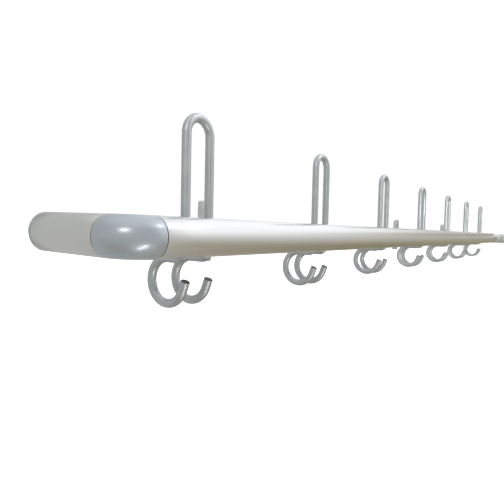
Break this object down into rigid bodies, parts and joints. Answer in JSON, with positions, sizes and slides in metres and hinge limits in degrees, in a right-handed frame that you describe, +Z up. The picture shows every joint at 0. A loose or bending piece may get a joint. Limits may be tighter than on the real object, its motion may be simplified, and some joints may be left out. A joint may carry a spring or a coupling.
{
  "type": "wall coat rail",
  "caption": "Wall-mounted coat rail: D-section aluminium rail with a returned end and an inner corner, carrying bent-rod double hooks with a hat loop above and two coat curls below.",
  "frame": {"origin": "on the long wall's surface, at the centre of the middle bracket's wall plate", "axes": "+X along the long rail to the right as seen from the room, +Y into the long wall, +Z up"},
  "size_m": [1.9353, 0.3729, 0.1852],
  "materials": {
    "anodised": "satin natural anodised, fine extrusion lines along the length",
    "rod": "satin silver bent rod",
    "corner_plastic": "glossy grey-blue moulding",
    "clamp_plastic": "fine-textured dark grey moulding",
    "bracket_steel": "satin silver-grey powder coat",
    "zinc": "bright zinc-plated"
  },
  "bodies": {
    "root": {"main_rail": "anodised", "return_rail": "anodised", "side_rail": "anodised", "outer_corner": "corner_plastic", "inner_corner": "anodised", "return_foot": "corner_plastic", "side_end_cap": "corner_plastic", "hook_1": "rod", "hook_clamp_1": "clamp_plastic", "clamp_bolt_1": "zinc", "clamp_nut_1": "zinc", "hook_2": "rod", "hook_clamp_2": "clamp_plastic", "clamp_bolt_2": "zinc", "clamp_nut_2": "zinc", "hook_3": "rod", "hook_clamp_3": "clamp_plastic", "clamp_bolt_3": "zinc", "clamp_nut_3": "zinc", "hook_4": "rod", "hook_clamp_4": "clamp_plastic", "clamp_bolt_4": "zinc", "clamp_nut_4": "zinc", "hook_5": "rod", "hook_clamp_5": "clamp_plastic", "clamp_bolt_5": "zinc", "clamp_nut_5": "zinc", "hook_6": "rod", "hook_clamp_6": "clamp_plastic", "clamp_bolt_6": "zinc", "clamp_nut_6": "zinc", "hook_7": "rod", "hook_clamp_7": "clamp_plastic", "clamp_bolt_7": "zinc", "clamp_nut_7": "zinc", "wall_bracket_1": "bracket_steel", "wall_screw_1a": "zinc", "wall_screw_1b": "zinc", "bracket_bolt_1": "zinc", "bracket_nut_1": "zinc", "wall_bracket_2": "bracket_steel", "wall_screw_2a": "zinc", "wall_screw_2b": "zinc", "bracket_bolt_2": "zinc", "bracket_nut_2": "zinc", "wall_bracket_3": "bracket_steel", "wall_screw_3a": "zinc", "wall_screw_3b": "zinc", "bracket_bolt_3": "zinc", "bracket_nut_3": "zinc", "wall_bracket_4": "bracket_steel", "wall_screw_4a": "zinc", "wall_screw_4b": "zinc", "bracket_bolt_4": "zinc", "bracket_nut_4": "zinc", "foot_screw": "zinc"}
  },
  "joints": []
}
